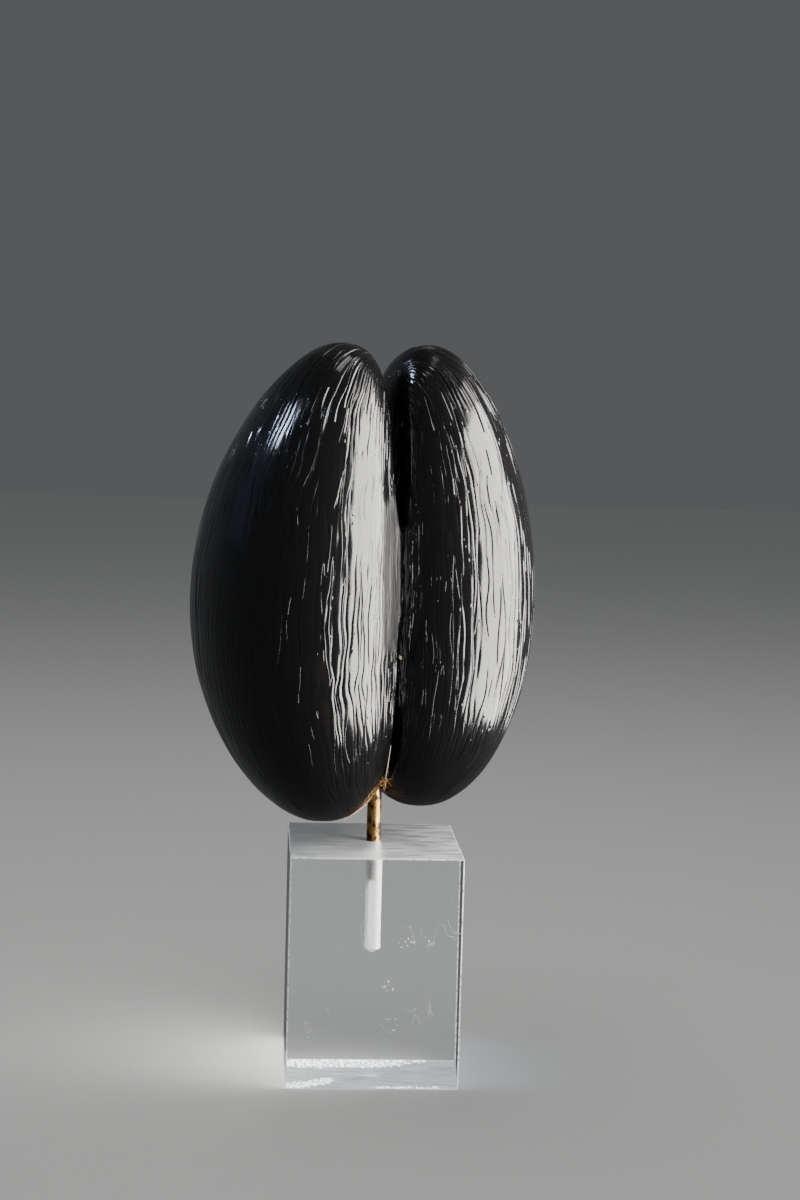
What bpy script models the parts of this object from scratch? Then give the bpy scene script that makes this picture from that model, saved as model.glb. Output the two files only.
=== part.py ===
"""A coco de mer seed, held on a metal rod that stands in a clear acrylic block.

Run it with:  blender --background --python part.py
Metres, +Z up. The origin is the centre of the block's base, the block's sides lie along X and Y,
and the seed's furrowed front faces -Y, turned a little towards +X.
"""

import math

import bmesh
import bpy
import numpy as np
from mathutils import Matrix, Vector, noise

# Acrylic block: square stock, sawn to height, with a drilled blind bore
BLOCK_WIDTH = 0.100
BLOCK_HEIGHT = 0.1356
BLOCK_EDGE = 0.0007
BORE_RADIUS = 0.0045
BORE_DEPTH = 0.0615
DRILL_POINT_ANGLE = math.radians(118)

# Rod, which ends part of the way down the bore and well inside the seed
GAP = 0.0003
ROD_RADIUS = BORE_RADIUS - GAP
ROD_IN_BLOCK = 0.0215
ROD_TOP = 0.2080
ROD_CHAMFER = 0.0006
BORE_SIDES = 32
ROD_CREASE = 40
CUT_CLEARANCE = 0.010

# Seed as a whole
SEED_MIDDLE = 0.2908
SEED_HALF_HEIGHT = 0.1379
SEED_TURN = math.radians(18)
BACK_BULGE = 0.0190

# The two lobes, which merge below the cleft: the left one is a little larger and hangs lower
LOBE_HALF_WIDTH = 0.0565
LOBE_HALF_DEPTH = 0.0741
LOBE_OFFSET = 0.0449
LOBE_OFFSET_AT_ENDS = 0.0293
LOBE_SHIFT = -0.0011
LOBE_DIFFERENCE = 0.0247
LOBE_DROP = 0.0032
LEFT_LEAN = 0.0037
RIGHT_LEAN = -0.0005
LOBE_TAPER = 0.1006
LOBE_END_NARROWING = 0.0573
LOBE_LIMIT = 1.3
LOBE_SQUARENESS = 2.11
INNER_SQUARENESS = 2.39
LOBE_BLEND = 0.0180
LOBE_BLEND_AT_ENDS = 0.0060
TIGHT_BELOW = -0.0350
OPEN_ABOVE = -0.0100
TIGHT_SHARE = 0.25

# The cleft, which parts the lobes from the crown down to its floor, and the furrow below it
CLEFT_FLOOR = 0.0340
CLEFT_HALF_WIDTH = 0.0032
CLEFT_LIP = 0.0060
FURROW_HALF_WIDTH = 0.0030
FURROW_DEPTH = 0.0020

# Cords of the shell: columns of the mesh that stand out and sink in by turns
COLUMNS = 184
ROWS = 31
COLUMN_CROWDING = 0.22
CORD_RELIEF = 0.0021
CREST_SHARE = 0.3
CORD_SLOPE = 0.70
CORD_CREASE = 25
CORD_WANDER = 2.0
CORDS_ROUND = 4.0
CORDS_DOWN = 6.0
CORD_MEAN_STRENGTH = 0.9
CORD_STRENGTH_SPREAD = 1.3
CORD_FAINTEST = 0.15
CORD_BOLDEST = 1.5
WANDER_SEED = 3.7
STRENGTH_SEED = 9.1

# How the shell's surface is traced
CORE_HEIGHT = -0.035
CORE_LIMIT = 0.92
FAR = 0.25
RAYS = 361
HALVINGS = 40
ROUNDING = 0.012
SLOPE_STEP = 0.0005
TINY = 0.00001


def clear_scene():
    for thing in list(bpy.data.objects):
        bpy.data.objects.remove(thing, do_unlink=True)


def smooth_min(a, b, radius):
    """The smaller of two distances, filleted where they meet."""
    h = np.clip(0.5 + 0.5 * (b - a) / radius, 0.0, 1.0)
    return b + (a - b) * h - radius * h * (1.0 - h)


def lobe_distance(x, y, z, side):
    """Roughly how far a point lies outside one lobe: side is -1 for the left and 1 for the right."""
    size = 1.0 - side * LOBE_DIFFERENCE
    lean = LEFT_LEAN if side < 0 else RIGHT_LEAN
    t = (z - side * LOBE_DROP / 2) / (SEED_HALF_HEIGHT - side * LOBE_DROP / 2)
    t = np.clip(t, -LOBE_LIMIT, LOBE_LIMIT)
    offset = LOBE_OFFSET + (LOBE_OFFSET_AT_ENDS - LOBE_OFFSET) * t * t
    centre = side * size * offset + LOBE_SHIFT + lean * t
    width = 1.0 - LOBE_TAPER * t - LOBE_END_NARROWING * t * t
    outward = side * (x - centre) / (LOBE_HALF_WIDTH * size * width)
    depth = np.abs(y - BACK_BULGE * (1.0 - t * t)) / (LOBE_HALF_DEPTH * width)
    power = LOBE_SQUARENESS
    across = np.where(outward > 0.0, np.abs(outward) ** power, np.abs(outward) ** INNER_SQUARENESS)
    reach = (across + depth ** power + np.abs(t) ** power) ** (1.0 / power)
    return (reach - 1.0) * LOBE_HALF_WIDTH


def seed_distance(x, y, z):
    """Roughly how far a point lies outside the seed, with z measured from the seed's mid-height."""
    middle = np.clip(1.0 - (z / SEED_HALF_HEIGHT) ** 2, 0.0, 1.0)
    upper = np.clip((z - TIGHT_BELOW) / (OPEN_ABOVE - TIGHT_BELOW), 0.0, 1.0)
    openness = TIGHT_SHARE + (1.0 - TIGHT_SHARE) * upper * upper * (3.0 - 2.0 * upper)
    blend = LOBE_BLEND_AT_ENDS + (LOBE_BLEND - LOBE_BLEND_AT_ENDS) * middle * openness
    lobes = smooth_min(lobe_distance(x, y, z, -1), lobe_distance(x, y, z, 1), blend)
    furrow = FURROW_DEPTH * np.maximum(1.0 - np.abs(x) / FURROW_HALF_WIDTH, 0.0)
    inside_cleft = smooth_min(CLEFT_HALF_WIDTH - np.abs(x), z - CLEFT_FLOOR, CLEFT_LIP)
    return -smooth_min(-lobes - furrow, -inside_cleft, CLEFT_LIP)


def crossing(inner, outer, distance):
    """The share of the way from inner to outer at which each distance changes sign."""
    low = np.zeros(inner[0].shape)
    high = np.ones(inner[0].shape)
    for _ in range(HALVINGS):
        half = (low + high) / 2
        inside = distance(*[a + (b - a) * half for a, b in zip(inner, outer)]) < 0.0
        low = np.where(inside, half, low)
        high = np.where(inside, high, half)
    return (low + high) / 2


def axis_height(end):
    """The height at which the seed's own axis leaves the shell, going from its core towards end."""
    zero = np.zeros(1)
    share = crossing((zero, zero, zero + CORE_HEIGHT), (zero, zero, zero + end), seed_distance)
    return CORE_HEIGHT + (end - CORE_HEIGHT) * float(share[0])


def meridians(longitudes):
    """Radii and heights along each meridian, from the notch out and over to the cleft's floor.

    Rays fan out from one point inside each half-section. Where the half-section holds a horn of
    the crown beside the cleft, that point stands under the horn, so every ray leaves the shell once.
    """
    notch = axis_height(-SEED_HALF_HEIGHT)
    floor = axis_height(SEED_HALF_HEIGHT)
    cosines = np.cos(longitudes)[:, None]
    sines = np.sin(longitudes)[:, None]
    zero = np.zeros(cosines.shape)
    level = zero + CORE_HEIGHT
    reach = crossing((zero, zero, level), (FAR * cosines, FAR * sines, level), seed_distance) * FAR
    wall = CLEFT_HALF_WIDTH / np.maximum(np.abs(cosines), TINY)
    core = np.minimum((wall + reach) / 2, CORE_LIMIT * reach)
    start = np.arctan2(notch - CORE_HEIGHT, -core)
    end = np.arctan2(floor - CORE_HEIGHT, -core)
    sweep = start + (end - start) * np.linspace(0.0, 1.0, RAYS)[None, :]
    across = np.cos(sweep)
    up = np.sin(sweep)
    length = np.where(across < 0.0, core / np.maximum(-across, TINY), FAR)
    length = np.minimum(length, FAR)
    far_radius = core + across * length
    inner = (core * cosines + 0 * across, core * sines + 0 * across, level + 0 * across)
    outer = (far_radius * cosines, far_radius * sines, level + up * length)
    share = crossing(inner, outer, seed_distance)
    share[:, 0] = 1.0
    share[:, -1] = 1.0
    return core + across * length * share, CORE_HEIGHT + up * length * share


def evenly(radii, heights, count):
    """Each meridian resampled to count points, closer together where it bends."""
    steps = np.hypot(np.diff(radii), np.diff(heights))
    headings = np.unwrap(np.arctan2(np.diff(heights), np.diff(radii)), axis=1)
    bends = np.zeros(radii.shape)
    bends[:, 1:-1] = np.abs(np.diff(headings))
    weights = steps + ROUNDING * (bends[:, 1:] + bends[:, :-1]) / 2
    run = np.concatenate([np.zeros((len(radii), 1)), np.cumsum(weights, axis=1)], axis=1)
    new_radii = np.empty((len(radii), count))
    new_heights = np.empty((len(radii), count))
    for column in range(len(radii)):
        places = np.linspace(0.0, run[column, -1], count)
        new_radii[column] = np.interp(places, run[column], radii[column])
        new_heights[column] = np.interp(places, run[column], heights[column])
    return new_radii, new_heights


def cord_noise(longitude, run, seed):
    """A soft random value, -1 to 1, in cells long down the shell and narrow round it."""
    across = CORDS_ROUND * math.cos(longitude)
    deep = CORDS_ROUND * math.sin(longitude)
    return noise.noise(Vector((across, deep, CORDS_DOWN * run + seed)))


def make_seed(collection):
    """The shell: a sphere's columns and rows, each point set on the lobes and raised or sunk as cords."""
    bpy.ops.mesh.primitive_uv_sphere_add(segments=COLUMNS, ring_count=ROWS, radius=1.0)
    seed = bpy.context.object
    seed.name = "seed"
    seed.data.name = "seed"
    move_to(seed, collection)

    even = np.linspace(0.0, 2 * math.pi, COLUMNS, endpoint=False)
    longitudes = even + COLUMN_CROWDING / 2 * np.sin(2 * even)
    radii, heights = evenly(*meridians(longitudes), ROWS + 1)
    spacing = 2 * math.pi / COLUMNS

    points = np.empty((len(seed.data.vertices), 3))
    relief = np.empty(len(points))
    for index, vertex in enumerate(seed.data.vertices):
        row = round(math.acos(max(-1.0, min(1.0, -vertex.co.z))) / math.pi * ROWS)
        column = 0
        if 0 < row < ROWS:
            column = round(math.atan2(vertex.co.y, vertex.co.x) / spacing) % COLUMNS
        run = row / ROWS
        fade = math.sin(math.pi * run)
        drift = column + CORD_WANDER * fade * cord_noise(longitudes[column], run, WANDER_SEED)
        before = math.floor(drift)
        share = drift - before
        first = before % COLUMNS
        second = (before + 1) % COLUMNS
        turn = (longitudes[second] - longitudes[first]) % (2 * math.pi)
        longitude = longitudes[first] + share * turn
        radius = radii[first, row] * (1 - share) + radii[second, row] * share
        height = heights[first, row] * (1 - share) + heights[second, row] * share
        points[index] = (radius * math.cos(longitude), radius * math.sin(longitude), height)
        strength = CORD_MEAN_STRENGTH + CORD_STRENGTH_SPREAD * cord_noise(longitude, run, STRENGTH_SEED)
        depth = CORD_RELIEF * max(CORD_FAINTEST, min(CORD_BOLDEST, strength))
        depth = min(depth, CORD_SLOPE * radius * turn)
        relief[index] = CREST_SHARE * depth if column % 2 else (CREST_SHARE - 1.0) * depth
    points += outward(points) * relief[:, None]

    turn = Matrix.Rotation(SEED_TURN, 4, "Z")
    lift = Matrix.Translation((0.0, 0.0, SEED_MIDDLE))
    seed.data.vertices.foreach_set("co", points.ravel())
    seed.data.transform(lift @ turn)
    seed.data.update()
    return seed


def outward(points):
    """The direction straight out of the shell at each point."""
    slopes = []
    for axis in np.eye(3) * SLOPE_STEP:
        ahead = seed_distance(*(points + axis).T)
        behind = seed_distance(*(points - axis).T)
        slopes.append(ahead - behind)
    slope = np.stack(slopes, axis=1)
    return slope / np.maximum(np.linalg.norm(slope, axis=1, keepdims=True), TINY)


def move_to(thing, collection):
    for old in list(thing.users_collection):
        old.objects.unlink(thing)
    collection.objects.link(thing)


def new_collection(name):
    collection = bpy.data.collections.new(name)
    bpy.context.scene.collection.children.link(collection)
    return collection


def material(name, colour, roughness, metallic, alpha=1.0):
    finish = bpy.data.materials.new(name)
    finish.use_nodes = True
    shader = finish.node_tree.nodes["Principled BSDF"]
    shader.inputs["Base Color"].default_value = (*colour, 1.0)
    shader.inputs["Roughness"].default_value = roughness
    shader.inputs["Metallic"].default_value = metallic
    shader.inputs["Alpha"].default_value = alpha
    return finish


def cylinder(name, radius, bottom, top, sides, collection):
    bpy.ops.mesh.primitive_cylinder_add(
        vertices=sides, radius=radius, depth=top - bottom, location=(0.0, 0.0, (top + bottom) / 2)
    )
    piece = bpy.context.object
    piece.name = name
    piece.data.name = name
    move_to(piece, collection)
    return piece


def cutter(piece):
    piece.hide_render = True
    piece.display_type = "WIRE"
    return piece


def cut(piece, tool):
    boolean = piece.modifiers.new("Cut " + tool.name, "BOOLEAN")
    boolean.operation = "DIFFERENCE"
    boolean.solver = "EXACT"
    boolean.object = tool


def smooth(piece, angle):
    piece.data.shade_smooth()
    piece.data.set_sharp_from_angle(angle=math.radians(angle))


def make_drill(collection):
    """The bore's shape: straight down to a drill point, turned from its profile."""
    tip = BLOCK_HEIGHT - BORE_DEPTH - BORE_RADIUS / math.tan(DRILL_POINT_ANGLE / 2)
    shoulder = BLOCK_HEIGHT - BORE_DEPTH
    above = BLOCK_HEIGHT + CUT_CLEARANCE
    profile = [(0.0, above), (BORE_RADIUS, above), (BORE_RADIUS, shoulder), (0.0, tip)]
    mesh = bpy.data.meshes.new("bore")
    shape = bmesh.new()
    points = [shape.verts.new((radius, 0.0, height)) for radius, height in profile]
    for first, second in zip(points, points[1:]):
        shape.edges.new((first, second))
    shape.to_mesh(mesh)
    shape.free()
    drill = bpy.data.objects.new("bore", mesh)
    collection.objects.link(drill)
    turned = drill.modifiers.new("Turn", "SCREW")
    turned.steps = BORE_SIDES
    turned.render_steps = BORE_SIDES
    turned.use_merge_vertices = True
    turned.merge_threshold = 0.0001
    return cutter(drill)


def make_block(collection, cutters):
    mesh = bpy.data.meshes.new("block")
    shape = bmesh.new()
    bmesh.ops.create_cube(shape, size=1.0)
    bmesh.ops.scale(shape, vec=(BLOCK_WIDTH, BLOCK_WIDTH, BLOCK_HEIGHT), verts=shape.verts)
    bmesh.ops.translate(shape, vec=(0.0, 0.0, BLOCK_HEIGHT / 2), verts=shape.verts)
    shape.to_mesh(mesh)
    shape.free()
    block = bpy.data.objects.new("block", mesh)
    collection.objects.link(block)
    edges = block.modifiers.new("Polished edges", "BEVEL")
    edges.width = BLOCK_EDGE
    edges.segments = 2
    cut(block, make_drill(cutters))
    return block


def make_rod(collection):
    rod = cylinder("rod", ROD_RADIUS, BLOCK_HEIGHT - ROD_IN_BLOCK, ROD_TOP, BORE_SIDES, collection)
    ends = rod.modifiers.new("Chamfered ends", "BEVEL")
    ends.width = ROD_CHAMFER
    ends.segments = 2
    smooth(rod, ROD_CREASE)
    return rod


def main():
    clear_scene()
    parts = new_collection("Coco de mer seed on a stand")
    cutters = new_collection("Cutters")
    block = make_block(parts, cutters)
    rod = make_rod(parts)
    seed = make_seed(parts)
    hole = cylinder("rod_hole", BORE_RADIUS, BLOCK_HEIGHT, ROD_TOP + GAP, BORE_SIDES, cutters)
    cut(seed, cutter(hole))
    smooth(seed, CORD_CREASE)
    block.data.materials.append(material("Clear acrylic", (0.80, 0.84, 0.84), 0.05, 0.0, 0.35))
    rod.data.materials.append(material("Aged brass", (0.45, 0.26, 0.09), 0.35, 1.0))
    seed.data.materials.append(material("Lacquered black shell", (0.012, 0.011, 0.011), 0.22, 0.0))


main()
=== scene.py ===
# %% [markdown]
# # A coco de mer on a stand
#
# A coco de mer is the largest seed of any plant: two lobes joined like a pair of lungs, in a
# hard black shell. This one has been lacquered and stands on a metal rod in a block of clear
# acrylic. The lesson dresses a measured model of it: the shell gets its net of flattened cords,
# the rod its worn gilding and the acrylic its polish, frosted bore and scuffs.

# %% Load the measured frame
import math

import bpy
import numpy as np
from mathutils import Matrix, Vector, noise


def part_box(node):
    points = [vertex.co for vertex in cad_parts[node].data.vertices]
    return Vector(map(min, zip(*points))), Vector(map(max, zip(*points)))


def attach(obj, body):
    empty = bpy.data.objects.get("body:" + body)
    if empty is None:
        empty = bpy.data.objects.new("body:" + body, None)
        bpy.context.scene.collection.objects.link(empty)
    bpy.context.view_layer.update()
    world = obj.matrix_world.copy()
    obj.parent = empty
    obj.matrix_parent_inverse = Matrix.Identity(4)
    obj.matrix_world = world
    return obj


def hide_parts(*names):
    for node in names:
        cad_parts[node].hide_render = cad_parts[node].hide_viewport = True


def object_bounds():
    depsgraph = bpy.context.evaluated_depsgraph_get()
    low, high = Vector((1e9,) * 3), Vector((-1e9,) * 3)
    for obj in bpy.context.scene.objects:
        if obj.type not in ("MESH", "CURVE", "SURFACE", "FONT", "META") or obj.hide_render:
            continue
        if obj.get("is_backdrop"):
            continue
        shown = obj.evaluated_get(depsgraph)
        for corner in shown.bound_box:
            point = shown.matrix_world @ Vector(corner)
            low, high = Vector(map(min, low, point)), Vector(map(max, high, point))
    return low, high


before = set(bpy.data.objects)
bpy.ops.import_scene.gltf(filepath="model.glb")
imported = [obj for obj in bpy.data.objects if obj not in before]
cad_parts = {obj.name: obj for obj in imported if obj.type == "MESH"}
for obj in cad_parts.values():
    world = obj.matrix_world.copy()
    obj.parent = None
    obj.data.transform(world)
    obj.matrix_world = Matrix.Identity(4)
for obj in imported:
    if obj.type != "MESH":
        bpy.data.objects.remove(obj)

CAD_BOX = [list(corner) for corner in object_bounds()]
BLOCK_LOW, BLOCK_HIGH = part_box("block")
ROD_LOW, ROD_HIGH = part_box("rod")
print("the whole object measures", [round(b - a, 3) for a, b in zip(*CAD_BOX)])

# %% [markdown]
# ## The camera
#
# The photograph was taken from a little above the seed's middle with a long lens, so the
# camera looks down by about six degrees and leans very slightly. A camera looks along its own
# -Z axis, so its matrix is built from the direction it looks in and then rolled.

# %% Place the camera
CAMERA_PLACE = Vector((-0.07372, -1.28424, 0.4089))
CAMERA_AIM = Vector((0.066287, 0.992758, -0.100188))
CAMERA_ROLL = math.radians(1.53)

lens = bpy.data.cameras.new("camera")
lens.lens = 66.0
lens.sensor_width = 36.0
lens.clip_start = 0.05
camera = bpy.data.objects.new("camera", lens)
bpy.context.scene.collection.objects.link(camera)
level = CAMERA_AIM.to_track_quat("-Z", "Y").to_matrix().to_4x4()
camera.matrix_world = Matrix.Translation(CAMERA_PLACE) @ level @ Matrix.Rotation(CAMERA_ROLL, 4, "Z")
bpy.context.scene.camera = camera
print("the camera stands", round(CAMERA_PLACE.length, 2), "m from the origin")

# %% [markdown]
# ## Light and floor
#
# Black lacquer shows almost nothing but reflections, so the lamps are placed by where their
# reflections fall. A tall softbox close on the right draws the long bright band down each lobe,
# with a dimmer one above it that fades the bands out towards the crowns. A narrow lamp overhead
# draws thin arcs on the crowns, and a cool lamp high on the left, in a faint glow, touches the
# left shoulder. They are linked to the object alone. The pale floor has a soft lamp of its own
# overhead, so it stays even. Neither the floor nor the block shows in the lacquer: a studio
# would keep both out of it with black cloth, and here a ray setting does so.


# %% Set the lamps
def add_lamp(name, place, aim, width, height, watts, colour):
    lamp = bpy.data.lights.new(name, "AREA")
    lamp.shape = "RECTANGLE"
    lamp.size = width
    lamp.size_y = height
    lamp.energy = watts
    lamp.color = colour
    holder = bpy.data.objects.new(name, lamp)
    bpy.context.scene.collection.objects.link(holder)
    holder.location = place
    holder.rotation_euler = (Vector(aim) - Vector(place)).to_track_quat("-Z", "Y").to_euler()
    holder.visible_camera = False
    return holder


def around(azimuth, distance, height):
    """A place this far from the rod's axis, turned from the front towards the right."""
    turn = math.radians(azimuth)
    return (distance * math.sin(turn), -distance * math.cos(turn), height)


SOFT_WHITE = (1.0, 0.98, 0.95)
PALE_WHITE = (1.0, 0.99, 0.97)
PURE_WHITE = (1.0, 1.0, 1.0)
COOL_WHITE = (0.62, 0.74, 1.0)
DEEP_BLUE = (0.25, 0.38, 1.0)
SOFTBOX_AT = around(65, 0.367, 0.33)
COOL_AT = around(-86, 0.95, 1.04)
GLOW_AT = around(-95, 0.95, 0.72)

object_lamps = [
    add_lamp("softbox", SOFTBOX_AT, (0.0, -0.111, 0.342), 0.394, 0.54, 15.0, SOFT_WHITE),
    add_lamp("softbox_top", (0.3388, -0.1085, 0.675), (0.0062, -0.0644, 0.687), 0.30, 0.15, 1.25, SOFT_WHITE),
    add_lamp("crown_lamp", (0.05, -0.05, 1.0), (0.0, -0.02, 0.42), 0.34, 0.09, 0.38, PALE_WHITE),
    add_lamp("cool_lamp", COOL_AT, (0.0, 0.0, 0.36), 0.16, 0.22, 5.0, COOL_WHITE),
    add_lamp("cool_glow", GLOW_AT, (0.0, 0.0, 0.30), 0.45, 0.60, 0.12, DEEP_BLUE),
]
floor_lamp = add_lamp("floor_lamp", (0.0, 0.0, 1.9), (0.0, 0.0, 0.0), 1.6, 1.6, 26.0, PURE_WHITE)
on_object = bpy.data.collections.new("lit_by_the_lamps")
on_floor = bpy.data.collections.new("lit_from_overhead")
shading = bpy.data.collections.new("throws_shadows")
for holder in (*object_lamps, floor_lamp):
    holder.light_linking.receiver_collection = on_floor if holder is floor_lamp else on_object
    holder.light_linking.blocker_collection = shading
print("the studio has", len(object_lamps) + 1, "lamps")

# %% Lay the floor and fill the air
AIR_GREY = (0.30, 0.31, 0.32, 1.0)
AIR_STRENGTH = 0.33
FLOOR_GREY = (0.50, 0.50, 0.49, 1.0)
FLOOR_GLOW = 0.05
FLOOR_DROP = 0.0004

world = bpy.data.worlds.new("studio_air")
bpy.context.scene.world = world
world.use_nodes = True
world.node_tree.nodes["Background"].inputs["Color"].default_value = AIR_GREY
world.node_tree.nodes["Background"].inputs["Strength"].default_value = AIR_STRENGTH

bpy.ops.object.select_all(action="DESELECT")
bpy.ops.mesh.primitive_plane_add(size=12.0, location=(0.0, 0.0, -FLOOR_DROP))
floor = bpy.context.object
floor.name = "studio_floor"
floor_paint = bpy.data.materials.new("studio_floor")
floor_paint.use_nodes = True
floor_shader = floor_paint.node_tree.nodes["Principled BSDF"]
floor_shader.inputs["Base Color"].default_value = FLOOR_GREY
floor_shader.inputs["Roughness"].default_value = 0.9
floor_shader.inputs["Emission Color"].default_value = (1.0, 1.0, 1.0, 1.0)
floor_shader.inputs["Emission Strength"].default_value = FLOOR_GLOW
floor.data.materials.append(floor_paint)
on_floor.objects.link(floor)
floor.visible_glossy = False
floor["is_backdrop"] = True
print("the floor lies", FLOOR_DROP * 1000, "mm below the base")

# %% [markdown]
# ## The shell's form
#
# No primitive looks like two fused lobes. The form is written down instead as a distance: how
# far any point lies outside the shell. Each lobe is a squared-off egg, a smooth minimum fuses
# the two, and a smooth maximum cuts the cleft between the crowns. These are the same measured
# values that the solid model uses, so the fine shell lies on the plain one. Only the cleft is
# finer: here it narrows towards its floor.

# %% Measure the seed
SEED_MIDDLE = 0.2908
SEED_HALF_HEIGHT = 0.1379
SEED_TURN = math.radians(18)
BACK_BULGE = 0.0190

LOBE_HALF_WIDTH = 0.0565
LOBE_HALF_DEPTH = 0.0741
LOBE_OFFSET = 0.0449
LOBE_OFFSET_AT_ENDS = 0.0293
LOBE_SHIFT = -0.0011
LOBE_DIFFERENCE = 0.0247
LOBE_DROP = 0.0032
LEFT_LEAN = 0.0037
RIGHT_LEAN = -0.0005
LOBE_TAPER = 0.1006
LOBE_END_NARROWING = 0.0573
LOBE_LIMIT = 1.3
LOBE_SQUARENESS = 2.11
INNER_SQUARENESS = 2.39
LOBE_BLEND = 0.0180
LOBE_BLEND_AT_ENDS = 0.0060
TIGHT_BELOW = -0.0350
OPEN_ABOVE = -0.0100
TIGHT_SHARE = 0.25

CLEFT_FLOOR = 0.0340
CLEFT_HALF_WIDTH = 0.0032
CLEFT_LIP = 0.0060
CLEFT_TAPER = 0.0300
FURROW_HALF_WIDTH = 0.0030
FURROW_DEPTH = 0.0020

HOLE_RADIUS = 0.0045
ROD_GAP = 0.0003
TINY = 0.00001


# %% Write the form as a distance
def smooth_min(a, b, radius):
    """The smaller of two distances, filleted where they meet."""
    h = np.clip(0.5 + 0.5 * (b - a) / radius, 0.0, 1.0)
    return b + (a - b) * h - radius * h * (1.0 - h)


def lobe_distance(x, y, z, side):
    """Roughly how far a point lies outside one lobe: side is -1 for the left and 1 for the right."""
    size = 1.0 - side * LOBE_DIFFERENCE
    lean = LEFT_LEAN if side < 0 else RIGHT_LEAN
    t = (z - side * LOBE_DROP / 2) / (SEED_HALF_HEIGHT - side * LOBE_DROP / 2)
    t = np.clip(t, -LOBE_LIMIT, LOBE_LIMIT)
    offset = LOBE_OFFSET + (LOBE_OFFSET_AT_ENDS - LOBE_OFFSET) * t * t
    centre = side * size * offset + LOBE_SHIFT + lean * t
    width = 1.0 - LOBE_TAPER * t - LOBE_END_NARROWING * t * t
    outward = side * (x - centre) / (LOBE_HALF_WIDTH * size * width)
    depth = np.abs(y - BACK_BULGE * (1.0 - t * t)) / (LOBE_HALF_DEPTH * width)
    power = LOBE_SQUARENESS
    across = np.where(outward > 0.0, np.abs(outward) ** power, np.abs(outward) ** INNER_SQUARENESS)
    reach = (across + depth ** power + np.abs(t) ** power) ** (1.0 / power)
    return (reach - 1.0) * LOBE_HALF_WIDTH


def seed_distance(x, y, z):
    """Roughly how far a point lies outside the seed, with z measured from its mid-height."""
    middle = np.clip(1.0 - (z / SEED_HALF_HEIGHT) ** 2, 0.0, 1.0)
    upper = np.clip((z - TIGHT_BELOW) / (OPEN_ABOVE - TIGHT_BELOW), 0.0, 1.0)
    openness = TIGHT_SHARE + (1.0 - TIGHT_SHARE) * upper * upper * (3.0 - 2.0 * upper)
    blend = LOBE_BLEND_AT_ENDS + (LOBE_BLEND - LOBE_BLEND_AT_ENDS) * middle * openness
    lobes = smooth_min(lobe_distance(x, y, z, -1), lobe_distance(x, y, z, 1), blend)
    furrow = FURROW_DEPTH * np.maximum(1.0 - np.abs(x) / FURROW_HALF_WIDTH, 0.0)
    opening = CLEFT_HALF_WIDTH * np.sqrt(np.clip((z - CLEFT_FLOOR) / CLEFT_TAPER, 0.0, 1.0))
    inside_cleft = smooth_min(opening - np.abs(x), z - CLEFT_FLOOR, CLEFT_LIP)
    return -smooth_min(-lobes - furrow, -inside_cleft, CLEFT_LIP)


# %% [markdown]
# ## From the distance to a skin
#
# The skin starts as a UV sphere with many columns. Its lower pole goes into the notch that the
# rod enters and its upper pole onto the floor of the cleft, so a column runs from the notch
# under a lobe, out and up its side, over the crown and down into the cleft. The cords of a real
# shell run the same way. Rays from the heart of each half-section find the skin by halving.

# %% Trace the meridians
MERIDIANS = 720
ROWS = 100
HOLE_ROWS = 2
COLUMN_CROWDING = 0.22
CORE_HEIGHT = -0.035
CORE_LIMIT = 0.92
FAR = 0.25
RAYS = 241
HALVINGS = 22
ROUNDING = 0.012


def crossing(inner, outer):
    """The share of the way from inner to outer at which each line leaves the shell."""
    low = np.zeros(inner[0].shape)
    high = np.ones(inner[0].shape)
    for _ in range(HALVINGS):
        half = (low + high) / 2
        inside = seed_distance(*[a + (b - a) * half for a, b in zip(inner, outer)]) < 0.0
        low = np.where(inside, half, low)
        high = np.where(inside, high, half)
    return (low + high) / 2


def axis_height(end):
    """The height at which the seed's own axis leaves the shell, going from its core towards end."""
    zero = np.zeros(1)
    share = crossing((zero, zero, zero + CORE_HEIGHT), (zero, zero, zero + end))
    return CORE_HEIGHT + (end - CORE_HEIGHT) * float(share[0])


def meridians(longitudes):
    """Radii and heights along each meridian, from the notch out and over to the cleft's floor."""
    notch = axis_height(-SEED_HALF_HEIGHT)
    floor_height = axis_height(SEED_HALF_HEIGHT)
    cosines = np.cos(longitudes)[:, None]
    sines = np.sin(longitudes)[:, None]
    zero = np.zeros(cosines.shape)
    height = zero + CORE_HEIGHT
    reach = crossing((zero, zero, height), (FAR * cosines, FAR * sines, height)) * FAR
    wall = CLEFT_HALF_WIDTH / np.maximum(np.abs(cosines), TINY)
    core = np.minimum((wall + reach) / 2, CORE_LIMIT * reach)
    start = np.arctan2(notch - CORE_HEIGHT, -core)
    end = np.arctan2(floor_height - CORE_HEIGHT, -core)
    sweep = start + (end - start) * np.linspace(0.0, 1.0, RAYS)[None, :]
    across = np.cos(sweep)
    up = np.sin(sweep)
    length = np.where(across < 0.0, core / np.maximum(-across, TINY), FAR)
    length = np.minimum(length, FAR)
    far_radius = core + across * length
    inner = (core * cosines + 0 * across, core * sines + 0 * across, height + 0 * across)
    outer = (far_radius * cosines, far_radius * sines, height + up * length)
    share = crossing(inner, outer)
    share[:, 0] = 1.0
    share[:, -1] = 1.0
    return core + across * length * share, CORE_HEIGHT + up * length * share


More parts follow.
